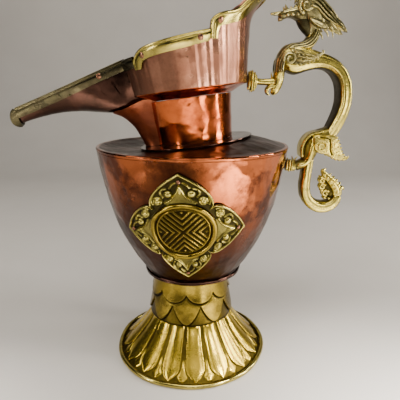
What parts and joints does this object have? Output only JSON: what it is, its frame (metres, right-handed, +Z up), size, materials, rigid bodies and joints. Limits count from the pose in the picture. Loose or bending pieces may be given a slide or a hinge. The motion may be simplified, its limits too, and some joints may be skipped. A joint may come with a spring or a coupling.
{
  "type": "monks cap ewer",
  "caption": "Copper ewer with a stepped cap-shaped collar, an open gutter spout, brass edging and medallions, a brass lotus foot and a cast brass dragon handle, for pouring liquids.",
  "frame": {"origin": "middle of the object's box, on the surface it stands on", "axes": "+Z up, -X towards the spout's tip, +X towards the handle, -Y towards the viewer"},
  "size_m": [0.2653, 0.1512, 0.3058],
  "materials": {
    "copper": "polished, hammered",
    "sheet_brass": "polished, chased",
    "cast_brass": "cast, dark in the recesses"
  },
  "bodies": {
    "root": {"base_seam_ring": "copper", "body_floor": "copper", "body_wall": "copper", "collar_ledge": "copper", "collar_wall": "copper", "crown_band": "sheet_brass", "dragon_body": "cast_brass", "dragon_head": "cast_brass", "dragon_jaw": "cast_brass", "dragon_neck": "cast_brass", "foot_bead": "sheet_brass", "foot_collar": "sheet_brass", "foot_skirt": "sheet_brass", "forearm": "cast_brass", "foreleg": "cast_brass", "haunch_flame_left": "cast_brass", "haunch_flame_right": "cast_brass", "hind_claw": "cast_brass", "hind_leg": "cast_brass", "horn_left": "cast_brass", "horn_right": "cast_brass", "mane_left": "cast_brass", "mane_right": "cast_brass", "middle_band_left": "sheet_brass", "middle_band_right": "sheet_brass", "neck_flange": "copper", "neck_tube": "copper", "plaque_back": "sheet_brass", "plaque_front": "sheet_brass", "rivet_crown_left": "copper", "rivet_crown_right": "copper", "rivet_middle_front_left": "copper", "rivet_middle_front_right": "copper", "rivet_middle_rear_left": "copper", "rivet_middle_rear_right": "copper", "rivet_plaque_back_1": "copper", "rivet_plaque_back_2": "copper", "rivet_plaque_back_3": "copper", "rivet_plaque_back_4": "copper", "rivet_plaque_front_1": "copper", "rivet_plaque_front_2": "copper", "rivet_plaque_front_3": "copper", "rivet_plaque_front_4": "copper", "rivet_spout_left": "copper", "rivet_spout_right": "copper", "roundel_back": "sheet_brass", "roundel_front": "sheet_brass", "shoulder_plate": "copper", "spout_band_left": "sheet_brass", "spout_band_right": "sheet_brass", "spout_gutter": "copper", "spout_throat": "copper", "spout_tip": "sheet_brass", "tail": "cast_brass", "tail_tuft": "cast_brass", "wing_left": "cast_brass", "wing_right": "cast_brass"}
  },
  "joints": []
}
